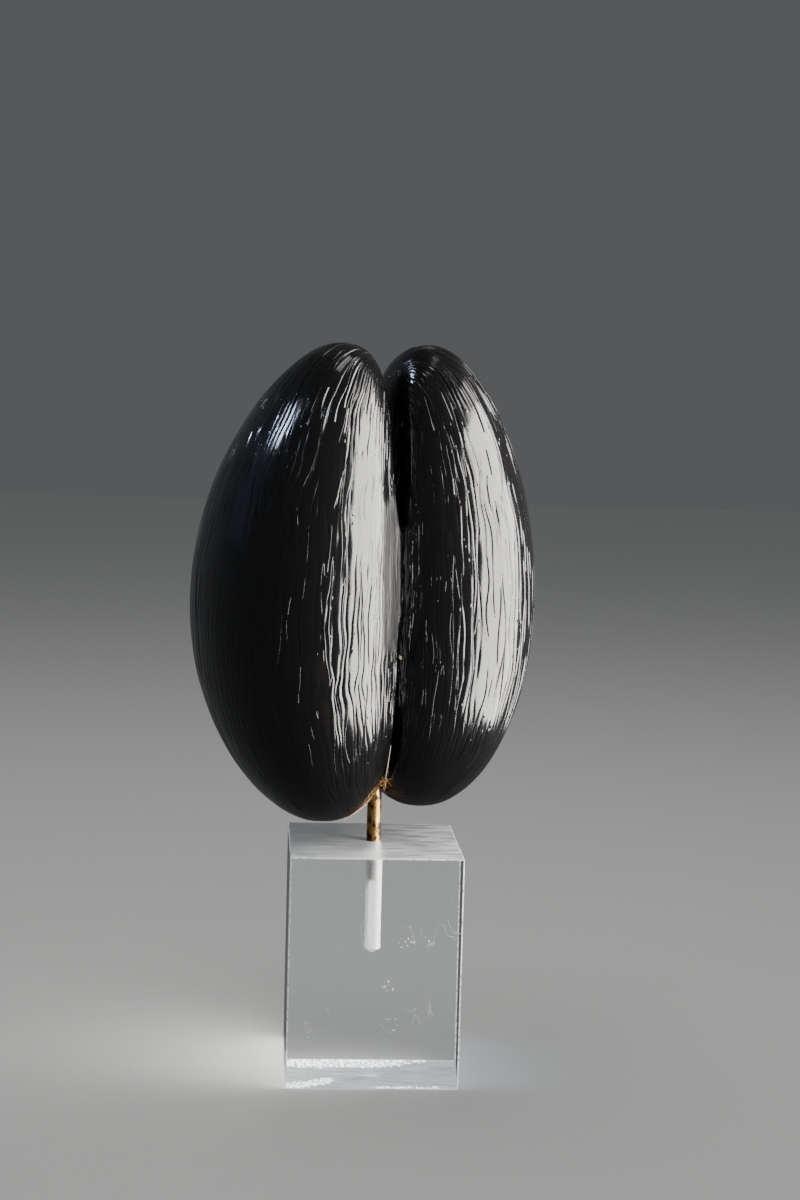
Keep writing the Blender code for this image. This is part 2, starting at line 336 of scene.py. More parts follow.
def evenly(radii, heights, count):
    """Each meridian from the rim of the rod's hole on, as count points, closer where it bends.

    The third result is the length along the meridian, in metres, of each point."""
    steps = np.hypot(np.diff(radii), np.diff(heights))
    headings = np.unwrap(np.arctan2(np.diff(heights), np.diff(radii)), axis=1)
    bends = np.zeros(radii.shape)
    bends[:, 1:-1] = np.abs(np.diff(headings))
    weights = steps + ROUNDING * (bends[:, 1:] + bends[:, :-1]) / 2
    pad = np.zeros((len(radii), 1))
    run = np.concatenate([pad, np.cumsum(weights, axis=1)], axis=1)
    length = np.concatenate([pad, np.cumsum(steps, axis=1)], axis=1)
    result = np.empty((3, len(radii), count))
    for column in range(len(radii)):
        rim = np.interp(HOLE_RADIUS, radii[column, :RAYS // 4], run[column, :RAYS // 4])
        places = np.linspace(rim, run[column, -1], count)
        for index, values in enumerate((radii, heights, length)):
            result[index, column] = np.interp(places, run[column], values[column])
    return result


def longitude_of(turn):
    """The longitude at a share of the way round, crowded a little towards the front and the back."""
    return 2 * math.pi * turn + COLUMN_CROWDING / 2 * np.sin(4 * math.pi * turn)


meridian_longitudes = longitude_of(np.arange(MERIDIANS) / MERIDIANS)
radii, heights, lengths = evenly(*meridians(meridian_longitudes), ROWS + 1 - HOLE_ROWS)
run = lengths.mean(axis=0)
print("a meridian runs", round(float(run[-1]), 3), "m on average")

# %% [markdown]
# ## Lay out the grooves
#
# A real shell carries long flattened cords with narrow grooves between them. They could be
# sculpted by hand, or pressed in with a Voronoi texture, but both need a far denser mesh to be
# crisp. Here the mesh follows the grooves instead. Each groove runs from the notch to the
# cleft and wanders on its own, and six columns of points lead from its bottom to the next one.

# %% Lay out the grooves
GROOVES = 160
GROOVE_SCATTER = 0.34
GROOVE_WANDER = 0.30
WANDER_WAVES = (0.15, 0.08, 0.045)
SMALLEST_GAP = 0.14
dice = np.random.default_rng(11)


def soft_random(waves):
    """For each groove, a smooth random value along the shell, mostly between -1 and 1."""
    total = np.zeros((GROOVES, len(run)))
    for wave in waves:
        start = dice.uniform(0.0, 2 * math.pi, (GROOVES, 1))
        stretch = dice.uniform(0.7, 1.4, (GROOVES, 1))
        total += np.sin(2 * math.pi * run / (wave * stretch) + start)
    return total / math.sqrt(len(waves))


def shared_random(turn, along, waves):
    """A smooth random value over the whole shell, from waves that go round and along it."""
    total = np.zeros(np.broadcast(turn, along).shape)
    for times_round, wave in waves:
        start = dice.uniform(0.0, 2 * math.pi)
        total += np.sin(2 * math.pi * (times_round * turn + along / wave) + start)
    return total / math.sqrt(len(waves))


shift = GROOVE_WANDER * soft_random(WANDER_WAVES)
shift = shift + dice.uniform(-GROOVE_SCATTER, GROOVE_SCATTER, (GROOVES, 1))
gaps = np.maximum(1.0 + np.roll(shift, -1, axis=0) - shift, SMALLEST_GAP)
gaps *= GROOVES / gaps.sum(axis=0)
groove_places = np.cumsum(gaps, axis=0) - gaps + shift[0]
print("gaps between grooves go from", round(float(gaps.min()), 2), "to", round(float(gaps.max()), 2))

# %% [markdown]
# ## Make grooves deep and faint
#
# Few grooves of a real shell run its whole length. Each deepens, fades out and starts again, so
# neighbouring cords join into wider plates. The upper half has fewer grooves than the lower, and
# towards the notch and over the crowns, where all of them crowd together, every other one fades.
# The front has two smoother strips, and a narrow strip of fine fibre borders the furrow.

# %% Set each groove's depth
GROOVE_SLOPE = 0.66
STEEP_SLOPE = 0.50
CROWN_SLOPE = 0.70
SMOOTH_SHARE = 0.26
GROOVE_HALF_WIDTH = 0.00060
GROOVE_SHARE = 0.33
SHALLOWEST = 0.75
STEEP_WAVES = (0.06, 0.035, 0.022)
STRENGTH_WAVES = (0.11, 0.055, 0.03)
STRENGTH_MEAN = 0.80
STRENGTH_SPREAD = 0.65
UPPER_FADE = 0.50
PATCH_WAVES = ((3, 0.17), (-5, 0.11), (7, 0.23), (-8, 0.4))
PATCH_SPREAD = 0.28
CROWN_THINNING = 0.4
UPPER_HEIGHTS = (-0.080, 0.060)
CROWN_HEIGHTS = (0.085, 0.115)
ARC_HEIGHTS = (0.080, 0.105)
STEEP_BURSTS = (1.15, 1.6)
CROWDED_HEIGHTS = (0.085, 0.125)
CROWDED_RADII = (-0.060, -0.035)
GROOVE_START = (0.010, 0.024)
BAND_LEFT_EDGE = (-0.050, -0.041)
BAND_RIGHT_EDGE = (-0.002, 0.006)
SHOULDER_HEIGHTS = (0.020, 0.050)
SHOULDER_EDGE = (0.052, 0.060)
RIGHT_SIDE_EDGE = (0.024, 0.034)
CROWN_EDGE = (0.075, 0.095)
BACK_EDGE = (0.0, 0.020)
FRINGE_LEFT = -0.0135
FRINGE_RIGHT = -0.0005
FRINGE_BOTTOM = -0.030
FRINGE_TOP = 0.052
FRINGE_FADE = 0.0045
FRINGE_END_FADE = 0.012
FRINGE_SMOOTHING = 0.7


def rising(value, low, high):
    share = np.clip((value - low) / (high - low), 0.0, 1.0)
    return share * share * (3.0 - 2.0 * share)


def fringe_at(x, y, z):
    """1 on the finely fibrous strip that borders the furrow on its left, 0 elsewhere."""
    across = rising(x, FRINGE_LEFT - FRINGE_FADE, FRINGE_LEFT)
    across = across * rising(-x, -FRINGE_RIGHT, FRINGE_FADE - FRINGE_RIGHT)
    up = rising(z, FRINGE_BOTTOM - FRINGE_END_FADE, FRINGE_BOTTOM)
    up = up * rising(-z, -FRINGE_TOP, FRINGE_END_FADE - FRINGE_TOP)
    return across * up * (y < 0.0)


def ribbed_at(x, y, z):
    """1 where the shell is ribbed, 0 on the two smooth strips of its front."""
    left_band = rising(x, *BAND_LEFT_EDGE) * rising(-x, *BAND_RIGHT_EDGE)
    left_shoulder = rising(z, *SHOULDER_HEIGHTS) * rising(-x, *SHOULDER_EDGE)
    right_side = rising(x, *RIGHT_SIDE_EDGE)
    crowns_and_back = rising(z, *CROWN_EDGE) + rising(y, *BACK_EDGE)
    return np.clip(left_band + left_shoulder + right_side + crowns_and_back, 0.0, 1.0)


def on_meridians(grid, turn):
    """Read a grid of meridians and rows at one turn for each column and row."""
    place = (turn * MERIDIANS) % MERIDIANS
    before = np.floor(place).astype(int) % MERIDIANS
    share = place - np.floor(place)
    row = np.arange(turn.shape[1])[None, :]
    return grid[before, row] * (1.0 - share) + grid[(before + 1) % MERIDIANS, row] * share


spots = np.stack(
    [radii * np.cos(meridian_longitudes)[:, None], radii * np.sin(meridian_longitudes)[:, None], heights]
)
metres_round = np.linalg.norm(np.roll(spots, -1, axis=1) - np.roll(spots, 1, axis=1), axis=0) * MERIDIANS / 2
groove_turns = groove_places / GROOVES
metres_a_gap = on_meridians(metres_round, groove_turns) / GROOVES
groove_radius = on_meridians(radii, groove_turns)
groove_height = on_meridians(heights, groove_turns)

groove_longitude = longitude_of(groove_turns)
groove_x = groove_radius * np.cos(groove_longitude)
groove_y = groove_radius * np.sin(groove_longitude)
groove_spot = (groove_x, groove_y, groove_height)
fringe = fringe_at(*groove_spot)
ribbed = ribbed_at(*groove_spot)

strength = STRENGTH_MEAN + STRENGTH_SPREAD * soft_random(STRENGTH_WAVES)
strength += PATCH_SPREAD * shared_random(groove_turns, run[None, :], PATCH_WAVES)
strength -= UPPER_FADE * (rising(groove_height, *UPPER_HEIGHTS) - rising(groove_height, *CROWN_HEIGHTS))
strength = np.clip(strength, 0.0, 1.0) * (1.0 - FRINGE_SMOOTHING * fringe)
crowded = rising(np.abs(groove_height), *CROWDED_HEIGHTS) * rising(-groove_radius, *CROWDED_RADII)
strength[1::2] *= 1.0 - CROWN_THINNING * crowded[1::2]
strength *= rising(groove_radius, *GROOVE_START)
room = GROOVE_SHARE * np.minimum(gaps, np.roll(gaps, 1, axis=0)) * metres_a_gap
half_widths = np.minimum(GROOVE_HALF_WIDTH, room)
slope = GROOVE_SLOPE * dice.uniform(SHALLOWEST, 1.0, (GROOVES, 1))
slope = slope * (SMOOTH_SHARE + (1.0 - SMOOTH_SHARE) * ribbed)
slope = slope + STEEP_SLOPE * rising(soft_random(STEEP_WAVES), *STEEP_BURSTS)
slope = slope + CROWN_SLOPE * rising(groove_height, *ARC_HEIGHTS) * dice.uniform(0.0, 1.0, (GROOVES, 1))
depths = slope * strength * half_widths
deepest = float(depths.max())
print("a groove is", round(float(depths.mean()) * 1000, 2), "mm deep on average")

# %% [markdown]
# ## Set a sphere's points on the skin
#
# A UV sphere has the right net of faces: columns, rows and two poles. Each of its points knows
# its column and row from its place, so it can be sent to its place in a groove or on a cord. The
# two lowest rows go up into the seed to line the hole for the rod. A little rise and tilt of
# each cord keeps the reflections uneven.

# %% Fill in the cords between the grooves
COLUMN_SHARES = (0.0, 0.0, 0.2, 0.5, 0.8, 1.0)
COLUMNS_EACH = len(COLUMN_SHARES)
COLUMNS = GROOVES * COLUMNS_EACH
RIM_DROP = 0.07
CORD_RISE = 0.00007
PLATE_RISE = 0.00002
CORD_LEVEL = 0.00004
LEVEL_WAVES = (0.09, 0.04, 0.02)
SWELL = 0.00008
SWELL_WAVES = ((9, 0.05), (-13, 0.037), (17, 0.06), (-23, 0.028))

wall = half_widths / metres_a_gap
next_wall = np.roll(wall, -1, axis=0)
levels = CORD_LEVEL * soft_random(LEVEL_WAVES)
next_levels = np.roll(levels, -1, axis=0)
next_depths = np.roll(depths, -1, axis=0)
flat = gaps - wall - next_wall
cord_rise = PLATE_RISE + (CORD_RISE - PLATE_RISE) * rising(-groove_height, -0.040, 0.030)
column_places = np.empty((GROOVES, COLUMNS_EACH, len(run)))
column_lifts = np.empty(column_places.shape)
column_sinks = np.empty(column_places.shape)
for index, share in enumerate(COLUMN_SHARES):
    past = np.zeros(gaps.shape) if index == 0 else wall + share * flat
    sink = np.zeros(gaps.shape)
    if index == 0:
        sink = depths
    elif index == 1:
        sink = RIM_DROP * depths
    elif index == COLUMNS_EACH - 1:
        sink = RIM_DROP * next_depths
    rise = cord_rise * 4 * share * (1.0 - share)
    column_places[:, index] = groove_places + past
    column_lifts[:, index] = levels + (next_levels - levels) * past / gaps + rise - sink
    column_sinks[:, index] = sink / deepest
turns = column_places.reshape(COLUMNS, -1) / GROOVES
lifts = column_lifts.reshape(COLUMNS, -1)
sinks = column_sinks.reshape(COLUMNS, -1)
swelling = SWELL * shared_random(turns, run[None, :], SWELL_WAVES)
lifts += swelling * rising(on_meridians(radii, turns), *GROOVE_START)
even_turns = (np.arange(COLUMNS) // COLUMNS_EACH + np.arange(COLUMNS) % COLUMNS_EACH / COLUMNS_EACH) / GROOVES

# %% Send the sphere's points there
SLOPE_STEP = 0.0005
LIFT_START = (0.006, 0.012)

bpy.ops.object.select_all(action="DESELECT")
bpy.ops.mesh.primitive_uv_sphere_add(segments=COLUMNS, ring_count=ROWS, radius=1.0)
shell = bpy.context.object
shell.name = "coco_de_mer_shell"
shell.data.name = shell.name

sphere = np.empty(len(shell.data.vertices) * 3)
shell.data.vertices.foreach_get("co", sphere)
sphere = sphere.reshape(-1, 3)
rows = np.rint(np.arccos(np.clip(-sphere[:, 2], -1.0, 1.0)) / math.pi * ROWS).astype(int)
columns = np.rint(np.arctan2(sphere[:, 1], sphere[:, 0]) / (2 * math.pi / COLUMNS)).astype(int) % COLUMNS
columns[(rows == 0) | (rows == ROWS)] = 0

on_skin = np.maximum(rows - HOLE_ROWS, 0)
radius = on_meridians(radii, turns)[columns, on_skin]
height = on_meridians(heights, turns)[columns, on_skin]
hole_top = ROD_HIGH.z + ROD_GAP - SEED_MIDDLE
radius = np.where(rows == 0, 0.0, radius)
height = np.where(rows < HOLE_ROWS, hole_top, height)
longitude = longitude_of(turns)[columns, on_skin]
points = np.stack([radius * np.cos(longitude), radius * np.sin(longitude), height], axis=1)


def straight_out(places):
    """The direction straight out of the shell at each place."""
    slopes = []
    for axis in np.eye(3) * SLOPE_STEP:
        slopes.append(seed_distance(*(places + axis).T) - seed_distance(*(places - axis).T))
    slope = np.stack(slopes, axis=1)
    return slope / np.maximum(np.linalg.norm(slope, axis=1, keepdims=True), TINY)


lift = lifts[columns, on_skin] * (rows > HOLE_ROWS) * rising(radius, *LIFT_START)
points += straight_out(points) * lift[:, None]

# %% Keep the grain with the mesh
CORD_LENGTH = 0.040
GROOVE_CREASE = 12
CORDS_ROUND = GROOVES / (2 * math.pi)

flow = 2 * math.pi * even_turns[columns]
along = run[on_skin] / CORD_LENGTH
grain = np.stack([CORDS_ROUND * np.cos(flow), CORDS_ROUND * np.sin(flow), along], axis=1)
turned = Matrix.Translation((0.0, 0.0, SEED_MIDDLE)) @ Matrix.Rotation(SEED_TURN, 4, "Z")
shell.data.vertices.foreach_set("co", points.ravel())
shell.data.transform(turned)
attribute = shell.data.attributes.new("cord_space", "FLOAT_VECTOR", "POINT")
attribute.data.foreach_set("vector", grain.ravel())
attribute = shell.data.attributes.new("groove", "FLOAT", "POINT")
attribute.data.foreach_set("value", sinks[columns, on_skin] * (rows > HOLE_ROWS))
attribute = shell.data.attributes.new("fibrous", "FLOAT", "POINT")
attribute.data.foreach_set("value", fringe_at(*points.T))
shell.data.update()
shell.data.shade_smooth()
shell.data.set_sharp_from_angle(angle=math.radians(GROOVE_CREASE))
print("the shell has", len(shell.data.polygons), "faces")
print("it measures", [round(v, 4) for v in shell.dimensions])

# %% [markdown]
# ## Black lacquer
#
# The finish is a thin black lacquer over a dark shell. It is nearly black all over, so its look
# comes from gloss: flat tops that mirror the lamps, dull grooves, hairline cracks and pin holes.
# The pin holes are also coloured a little darker, as painted shade.
# Wood grain could come from an image, but nodes stay sharp at any size. They read the grain
# that was kept with the mesh for all that follows the cords, and object coordinates for pits.

# %% Helpers for materials
def new_material(name):
    finish = bpy.data.materials.new(name)
    finish.use_nodes = True
    tree = finish.node_tree
    return finish, tree, tree.nodes["Principled BSDF"]


def math_node(tree, operation, first, second):
    node = tree.nodes.new("ShaderNodeMath")
    node.operation = operation
    for index, value in enumerate((first, second)):
        if isinstance(value, (int, float)):
            node.inputs[index].default_value = value
        else:
            tree.links.new(value, node.inputs[index])
    return node.outputs["Value"]


def product(*values):
    """The product of node values in the material at hand."""
    total = values[0]
    for value in values[1:]:
        total = math_node(tree, "MULTIPLY", total, value)
    return total


def highest(*values):
    total = values[0]
    for value in values[1:]:
        total = math_node(tree, "MAXIMUM", total, value)
    return total


def ramp_node(tree, value, low, high, low_out=0.0, high_out=1.0):
    node = tree.nodes.new("ShaderNodeMapRange")
    node.interpolation_type = "SMOOTHSTEP"
    tree.links.new(value, node.inputs["Value"])
    node.inputs["From Min"].default_value = low
    node.inputs["From Max"].default_value = high
    node.inputs["To Min"].default_value = low_out
    node.inputs["To Max"].default_value = high_out
    return node.outputs["Result"]


def noise_node(tree, source, scale, detail=3.0, roughness=0.55):
    grain = tree.nodes.new("ShaderNodeTexNoise")
    grain.inputs["Scale"].default_value = scale
    grain.inputs["Detail"].default_value = detail
    grain.inputs["Roughness"].default_value = roughness
    tree.links.new(source, grain.inputs["Vector"])
    return grain.outputs["Fac"]


def cell_distance(tree, source, scale, feature):
    cells = tree.nodes.new("ShaderNodeTexVoronoi")
    cells.feature = feature
    cells.inputs["Scale"].default_value = scale
    tree.links.new(source, cells.inputs["Vector"])
    return cells.outputs["Distance"]


def stretched(tree, source, scale, turn=(0.0, 0.0, 0.0)):
    mapping = tree.nodes.new("ShaderNodeMapping")
    mapping.inputs["Scale"].default_value = scale
    mapping.inputs["Rotation"].default_value = turn
    tree.links.new(source, mapping.inputs["Vector"])
    return mapping.outputs["Vector"]


def mixed(tree, factor, first, second):
    """A colour mix: first and second are colours or sockets."""
    mix = tree.nodes.new("ShaderNodeMix")
    mix.data_type = "RGBA"
    tree.links.new(factor, mix.inputs[0])
    for socket, value in ((mix.inputs[6], first), (mix.inputs[7], second)):
        if isinstance(value, tuple):
            socket.default_value = (*value, 1.0)
        else:
            tree.links.new(value, socket)
    return mix.outputs[2]


def bumped(tree, height, distance, strength, under=None):
    bump = tree.nodes.new("ShaderNodeBump")
    bump.inputs["Distance"].default_value = distance
    bump.inputs["Strength"].default_value = strength
    tree.links.new(height, bump.inputs["Height"])
    if under is not None:
        tree.links.new(under, bump.inputs["Normal"])
    return bump.outputs["Normal"]


def attribute_node(tree, name, output):
    node = tree.nodes.new("ShaderNodeAttribute")
    node.attribute_name = name
    return node.outputs[output]


def object_place(tree):
    return tree.nodes.new("ShaderNodeTexCoord").outputs["Object"]


# %% Mix the lacquer
SHELL_BLACK = (0.0034, 0.0032, 0.0035)
SHELL_BROWN = (0.0070, 0.0055, 0.0048)
NOTCH_BROWN = (0.0450, 0.0110, 0.0040)
GROOVE_DUST = (0.0220, 0.0200, 0.0180)
PIT_SHADE_BLACK = (0.0015, 0.0012, 0.0010)
BARE_PATCH = (0.0090, -0.0100, 0.1670)

lacquer, tree, shader = new_material("black_lacquered_shell")
grain_place = attribute_node(tree, "cord_space", "Vector")
body_place = object_place(tree)
groove = attribute_node(tree, "groove", "Fac")
fibrous = attribute_node(tree, "fibrous", "Fac")

patches = noise_node(tree, body_place, 22.0)
dust_in_grooves = ramp_node(tree, groove, 0.1, 0.5)
dusty = product(dust_in_grooves, ramp_node(tree, patches, 0.5, 0.7))
long_patches = noise_node(tree, stretched(tree, grain_place, (0.6, 0.6, 1.5)), 1.0)
brown = ramp_node(tree, long_patches, 0.55, 0.75)
# The pits are dented by a bump and also coloured darker: painted shade in the pits.
pits_and_pit_shade = ramp_node(tree, cell_distance(tree, body_place, 90.0, "F1"), 0.030, 0.080, 1.0, 0.0)
colour = mixed(tree, brown, SHELL_BLACK, SHELL_BROWN)
colour = mixed(tree, dusty, colour, GROOVE_DUST)
colour = mixed(tree, pits_and_pit_shade, colour, PIT_SHADE_BLACK)
to_patch = tree.nodes.new("ShaderNodeVectorMath")
to_patch.operation = "DISTANCE"
to_patch.inputs[1].default_value = BARE_PATCH
tree.links.new(body_place, to_patch.inputs[0])
torn = math_node(tree, "ADD", to_patch.outputs["Value"], product(patches, 0.012))
bare = ramp_node(tree, torn, 0.008, 0.017, 1.0, 0.0)
flaking = noise_node(tree, body_place, 260.0, 4.0)
bare = product(bare, ramp_node(tree, flaking, 0.38, 0.60))
colour = mixed(tree, bare, colour, NOTCH_BROWN)
tree.links.new(colour, shader.inputs["Base Color"])

# %% Crack, scratch and pit the lacquer
crack_grain = noise_node(tree, stretched(tree, grain_place, (0.9, 0.9, 0.5)), 1.0, 1.0)
crack_side = math_node(tree, "ABSOLUTE", math_node(tree, "SUBTRACT", crack_grain, 0.5), 0.0)
crack_patches = noise_node(tree, stretched(tree, grain_place, (0.25, 0.25, 1.0)), 1.0)
cracked = ramp_node(tree, crack_patches, 0.46, 0.58)
cracks = product(ramp_node(tree, crack_side, 0.0, 0.012, 1.0, 0.0), cracked)
strands = noise_node(tree, stretched(tree, grain_place, (2.6, 2.6, 0.5)), 1.0, 4.0, 0.6)
fibres = noise_node(tree, stretched(tree, grain_place, (2.2, 2.2, 0.30)), 1.0, 3.0, 0.6)
fibre_relief = product(fibres, fibrous)
skin = noise_node(tree, body_place, 420.0, 2.0)
tick_place = stretched(tree, grain_place, (0.9, 0.9, 5.0))
ticks = ramp_node(tree, cell_distance(tree, tick_place, 1.0, "F1"), 0.03, 0.17, 1.0, 0.0)

relief_normal = bumped(tree, cracks, -0.00030, 0.45)
relief_normal = bumped(tree, strands, 0.00030, 0.18, relief_normal)
relief_normal = bumped(tree, fibre_relief, 0.00090, 1.0, relief_normal)
relief_normal = bumped(tree, pits_and_pit_shade, -0.00030, 0.45, relief_normal)
relief_normal = bumped(tree, ticks, 0.00025, 0.45, relief_normal)
relief_normal = bumped(tree, skin, 0.00010, 0.12, relief_normal)
tree.links.new(relief_normal, shader.inputs["Normal"])

gloss = ramp_node(tree, noise_node(tree, body_place, 60.0, 4.0), 0.3, 0.7, 0.09, 0.16)
gloss = math_node(tree, "ADD", gloss, product(groove, 0.30))
fringe_gloss = ramp_node(tree, fibres, 0.40, 0.58, 0.25, 0.80)
gloss = math_node(tree, "ADD", gloss, product(fibrous, fringe_gloss))
gloss = math_node(tree, "ADD", gloss, product(bare, 0.35))
tree.links.new(gloss, shader.inputs["Roughness"])
shader.inputs["Specular IOR Level"].default_value = 0.45
tree.links.new(ramp_node(tree, fibrous, 0.0, 0.7, 0.30, 0.0), shader.inputs["Coat Weight"])
shader.inputs["Coat Roughness"].default_value = 0.10
tree.links.new(relief_normal, shader.inputs["Coat Normal"])
shell.data.materials.append(lacquer)
on_object.objects.link(shell)
shading.objects.link(shell)
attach(shell, "root")
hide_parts("seed")
print("the lacquer has", len(tree.nodes), "nodes")

# %% [markdown]
# ## Fibres at the notch
#
# The husk's dry fibres still cling to the notch: a frayed tuft beside the rod, a flat sheaf down
# the left lobe's inner rim, one long straw that sticks up the furrow and a crumb in the furrow.
# Hair particles would not be part of the mesh. Hair particles would be lost when the model is
# exported. So each fibre is a short path with a round bevel that thins towards its tip, turned
# into a mesh and joined to the rest.


# %% Draw the fibres
def start_piece():
    bpy.ops.object.select_all(action="DESELECT")


def strand(spots, thickness, tip_share):
    """A fibre through a few places, as a mesh that thins to a share of its thickness."""
    start_piece()
    bpy.ops.curve.primitive_nurbs_path_add()
    path = bpy.context.object
    line = path.data.splines[0]
    knots = np.linspace(0.0, len(spots) - 1.0, len(line.points))
    for place, point in zip(knots, line.points):
        before = min(int(place), len(spots) - 2)
        spot = Vector(spots[before]).lerp(Vector(spots[before + 1]), place - before)
        point.co = (*spot, 1.0)
        point.radius = 1.0 + (tip_share - 1.0) * place / (len(spots) - 1)
    path.data.dimensions = "3D"
    path.data.bevel_depth = thickness
    path.data.bevel_resolution = 1
    path.data.resolution_u = 3
    path.data.use_fill_caps = True
    bpy.ops.object.convert(target="MESH")
    return bpy.context.object


def jitter(spot, spread):
    return Vector(spot) + Vector(dice.uniform(-spread, spread, 3))


TUFT_STRANDS = 34
SHEAF_STRANDS = 16
RIM_STRANDS = 3
TUFT_HEART = Vector((0.0050, -0.0150, 0.1738))
STRAW = (
    (0.0052, -0.0160, 0.1755),
    (0.0054, -0.0262, 0.1835),
    (0.0060, -0.0335, 0.1912),
    (0.0065, -0.0365, 0.1989),
)
SHEAF = (
    (-0.0044, -0.0068, 0.1602),
    (-0.0020, -0.0075, 0.1636),
    (0.0006, -0.0085, 0.1680),
    (0.0032, -0.0100, 0.1735),
)
RIM = ((-0.0185, -0.0200, 0.1517), (-0.0122, -0.0172, 0.1553), (-0.0048, -0.0100, 0.1592))
LEFT_STUB = ((0.0030, -0.0110, 0.1745), (0.0025, -0.0160, 0.1792))
RIGHT_STUB = ((0.0066, -0.0120, 0.1745), (0.0068, -0.0185, 0.1812))
CRUMB = (0.0109, -0.0326, 0.2494)
CRUMB_RADIUS = 0.0010
CRUMB_SHAPE = (1.1, 0.8, 1.2)
CRUMB_LUMPS = 0.30
CRUMB_GRAIN = 900.0
STRAW_THICKNESS = 0.00042
STUB_THICKNESS = 0.00028
RIM_THICKNESS = 0.00020
TUFT_THICKNESS = (0.00022, 0.00042)
SHEAF_THICKNESS = (0.00024, 0.00046)
STRAW_TIP = 0.35
FRAYED_TIP = 0.4
FLAT_TIP = 0.8
TUFT_SPREAD = 0.0018
TUFT_REACH = (0.0025, 0.0052)
TUFT_BEND = 0.0005
SHEAF_SPREAD = 0.0007
UNEVENNESS = 0.0003

fibre_pieces = [strand(STRAW, STRAW_THICKNESS, STRAW_TIP)]
for stub in (LEFT_STUB, RIGHT_STUB):
    fibre_pieces.append(strand(stub, STUB_THICKNESS, FRAYED_TIP))
for _ in range(TUFT_STRANDS):
    start = jitter(TUFT_HEART, TUFT_SPREAD)
    way = Vector((dice.uniform(-0.8, 1.0), dice.uniform(-1.0, -0.1), dice.uniform(-0.7, 1.0))).normalized()
    reach = dice.uniform(*TUFT_REACH)
    middle = jitter(start + way * reach * 0.5, TUFT_BEND)
    spots = (start, middle, start + way * reach)
    fibre_pieces.append(strand(spots, dice.uniform(*TUFT_THICKNESS), FRAYED_TIP))
for _ in range(SHEAF_STRANDS):
    aside = Vector(dice.uniform(-SHEAF_SPREAD, SHEAF_SPREAD, 3))
    spots = [jitter(Vector(spot) + aside, UNEVENNESS) for spot in SHEAF]
    fibre_pieces.append(strand(spots, dice.uniform(*SHEAF_THICKNESS), FLAT_TIP))
for _ in range(RIM_STRANDS):
    spots = [jitter(spot, UNEVENNESS) for spot in RIM]
    fibre_pieces.append(strand(spots, RIM_THICKNESS, FLAT_TIP))

# %% Add the crumb and join them
start_piece()
bpy.ops.mesh.primitive_ico_sphere_add(subdivisions=4, radius=CRUMB_RADIUS, location=CRUMB, scale=CRUMB_SHAPE)
crumb = bpy.context.object
for vertex in crumb.data.vertices:
    vertex.co *= 1.0 + CRUMB_LUMPS * noise.noise(vertex.co * CRUMB_GRAIN)
fibre_pieces.append(crumb)

start_piece()
for piece in fibre_pieces:
    piece.select_set(True)
fibres_left = fibre_pieces[0]
bpy.context.view_layer.objects.active = fibres_left
bpy.ops.object.join()
bpy.ops.object.transform_apply(location=True, rotation=True, scale=True)
bpy.ops.object.shade_smooth_by_angle(angle=math.radians(60))
fibres_left.name = "notch_fibres"
fibres_left.data.name = fibres_left.name
print("the notch has", len(fibre_pieces), "fibres of", len(fibres_left.data.polygons), "faces in all")

# %% Colour the fibres
FIBRE_GOLD = (0.42, 0.24, 0.08)
FIBRE_BROWN = (0.16, 0.065, 0.020)
FIBRE_STRAW = (0.48, 0.42, 0.28)
husk, tree, shader = new_material("dry_husk_fibre")
husk_place = object_place(tree)
streaks = noise_node(tree, stretched(tree, husk_place, (1.0, 1.0, 0.4)), 900.0, 4.0)
blotch = noise_node(tree, husk_place, 300.0, 3.0)
colour = mixed(tree, ramp_node(tree, streaks, 0.38, 0.62), FIBRE_BROWN, FIBRE_GOLD)
axes = tree.nodes.new("ShaderNodeSeparateXYZ")
tree.links.new(husk_place, axes.inputs["Vector"])
pale = ramp_node(tree, axes.outputs["Z"], 0.1735, 0.1790)
pale = product(pale, ramp_node(tree, blotch, 0.30, 0.50, 0.6, 1.0))
colour = mixed(tree, pale, colour, FIBRE_STRAW)
tree.links.new(colour, shader.inputs["Base Color"])
tree.links.new(ramp_node(tree, blotch, 0.3, 0.7, 0.50, 0.75), shader.inputs["Roughness"])
tree.links.new(bumped(tree, streaks, 0.0002, 0.6), shader.inputs["Normal"])
fibres_left.data.materials.append(husk)
on_object.objects.link(fibres_left)
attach(fibres_left, "root")
print("the fibre has", len(tree.nodes), "nodes")

# %% [markdown]
# ## The rod
#
# A plain metal rod of about 8 mm holds the seed. It goes a little way into the block and up
# into a drilled hole in the seed. Its gilding has worn, so it is mottled brown and gold. It
# starts as a cylinder with rounded ends, cut into short lengths and pulled a hair out of true.

# %% Turn the rod
ROD_SIDES = 48
ROD_CHAMFER = 0.0006
ROD_UNEVENNESS = 0.00012
ROD_GRAIN = 160.0
ROD_SLICES = 30
SLICE_MARGIN = 0.003


def apply_all(piece):
    bpy.context.view_layer.objects.active = piece
    for modifier in list(piece.modifiers):
        bpy.ops.object.modifier_apply(modifier=modifier.name)


def freeze_place(piece):
    """Move a piece's place, turn and scale into its mesh."""
    start_piece()
    piece.select_set(True)
    bpy.context.view_layer.objects.active = piece
    bpy.ops.object.transform_apply(location=True, rotation=True, scale=True)


